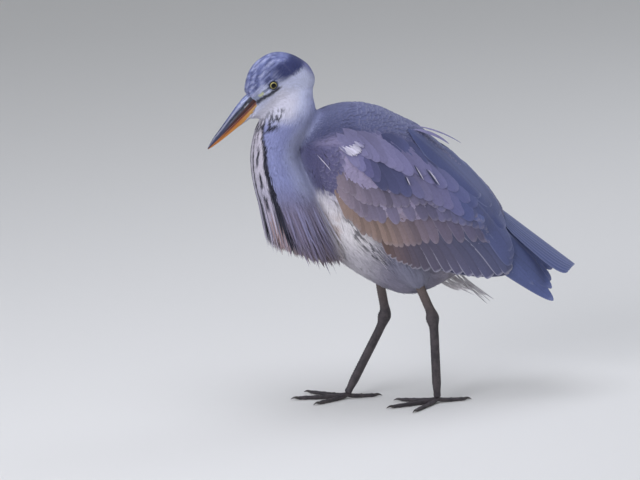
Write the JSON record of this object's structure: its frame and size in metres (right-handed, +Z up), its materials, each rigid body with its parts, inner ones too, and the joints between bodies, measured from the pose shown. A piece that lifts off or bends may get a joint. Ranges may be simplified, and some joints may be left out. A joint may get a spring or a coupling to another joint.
{
  "type": "young grey heron standing hunched, life size",
  "caption": "Life-size young grey heron standing still on two long legs, neck drawn in, bill pointing down, wings folded and breast plumes hanging.",
  "frame": {"origin": "on the floor under the bird, at the bottom centre of its box, which is the middle plane half way between its two feet", "axes": "+Z up, the bird faces -Y with its tail towards +Y, and its left side is towards +X"},
  "size_m": [0.1856, 0.6526, 0.6325],
  "materials": {
    "crown": "feathered, matt",
    "plumage": "feathered, matt",
    "neck": "feathered, matt",
    "breast": "feathered, matt",
    "wing": "feathered, matt",
    "flight": "feathered, matt",
    "upper_bill": "satin",
    "lower_bill": "satin",
    "eye": "glossy",
    "leg": "matt, scaly"
  },
  "bodies": {
    "root": {"bill_lower": "lower_bill", "bill_upper": "upper_bill", "eye_left": "eye", "eye_right": "eye", "head": "crown", "neck_lower": "neck", "neck_upper": "neck", "shank_left": "leg", "shank_right": "leg", "tail": "flight", "tarsus_left": "leg", "tarsus_right": "leg", "thigh_left": "breast", "thigh_right": "breast", "toe_left_hind": "leg", "toe_left_inner": "leg", "toe_left_middle": "leg", "toe_left_outer": "leg", "toe_right_hind": "leg", "toe_right_inner": "leg", "toe_right_middle": "leg", "toe_right_outer": "leg", "trunk": "plumage", "wing_left_coverts": "wing", "wing_left_primaries": "flight", "wing_left_secondaries": "flight", "wing_right_coverts": "wing", "wing_right_primaries": "flight", "wing_right_secondaries": "flight"}
  },
  "joints": []
}
